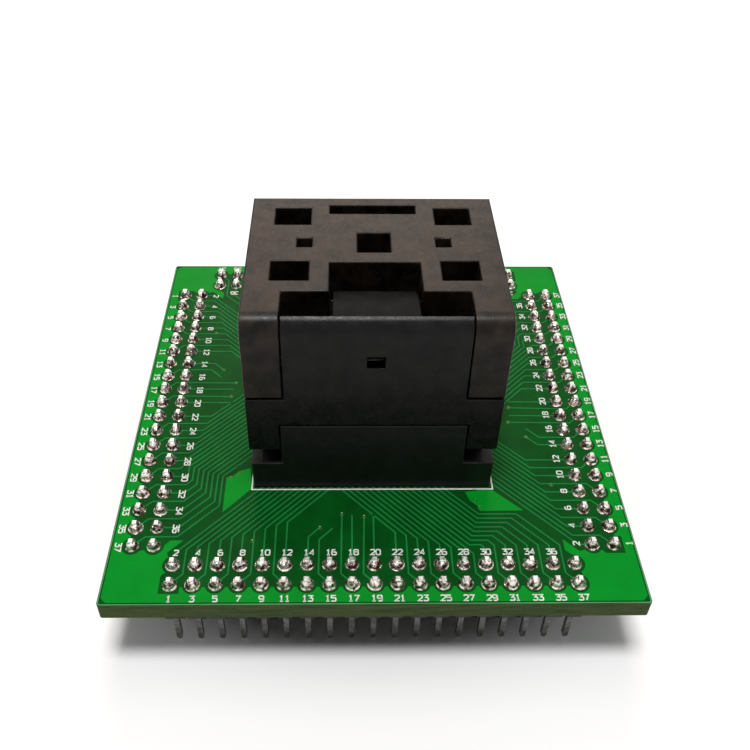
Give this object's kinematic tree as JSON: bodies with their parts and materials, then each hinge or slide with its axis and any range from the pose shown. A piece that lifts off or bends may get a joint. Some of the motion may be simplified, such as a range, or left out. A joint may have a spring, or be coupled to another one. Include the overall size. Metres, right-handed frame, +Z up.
{
  "type": "chip test socket",
  "caption": "Hinged clamshell test socket with a sprung front latch, pressure pad, floating nest and spring probes, on a square board with plug-in pin headers.",
  "frame": {"origin": "centre of the square board, at the height of the header pin tips", "axes": "+Z up through the board, +X to the right and -Y towards the latch"},
  "size_m": [0.061, 0.061, 0.0377],
  "materials": {
    "board": "gloss",
    "moulding": "matt",
    "header": "matt",
    "block": "matt",
    "pad": "anodised",
    "steel": "satin",
    "tin": "tinned",
    "gold": "gilt"
  },
  "bodies": {
    "base": {"circuit_board": "board", "socket_base": "moulding", "base_screws": "steel", "contact_block": "block", "probe_retainer": "block", "retainer_screws": "steel", "spring_probes": "gold", "nest_springs": "steel", "hinge_pin": "steel", "hinge_springs": "steel", "header_insulator_front": "header", "header_insulator_right": "header", "header_insulator_back": "header", "header_insulator_left": "header", "header_pins_front": "tin", "header_pins_right": "tin", "header_pins_back": "tin", "header_pins_left": "tin"},
    "nest": {"chip_nest": "moulding"},
    "lid": {"lid": "moulding", "latch_pin": "steel", "latch_spring": "steel", "pad_retainer": "pad", "pad_retainer_screws": "steel", "pad_springs": "steel"},
    "pad": {"pressure_pad": "pad", "pad_guide_pins": "steel"},
    "latch": {"latch": "moulding"}
  },
  "joints": [
    {"name": "lid_hinge", "type": "hinge", "parent": "base", "child": "lid", "pos_m": [0, 0.0124, 0.02206], "axis": [-1, 0, 0], "range_deg": [0, 100], "deforming": ["hinge_springs"]},
    {"name": "latch_pivot", "type": "hinge", "parent": "lid", "child": "latch", "pos_m": [0, -0.0124, 0.03046], "axis": [-1, 0, 0], "range_deg": [0, 7], "stiffness_Nm_per_rad": 0.02, "springref_deg": -8.59, "deforming": ["latch_spring"]},
    {"name": "nest_float", "type": "slide", "parent": "base", "child": "nest", "axis": [0, 0, -1], "range_m": [0, 0.0004], "stiffness_N_per_m": 2000, "springref_m": -0.0005, "deforming": ["nest_springs"]},
    {"name": "pad_float", "type": "slide", "parent": "lid", "child": "pad", "axis": [0, 0, 1], "range_m": [0, 0.0008], "stiffness_N_per_m": 6000, "springref_m": -0.001, "deforming": ["pad_springs"]}
  ]
}
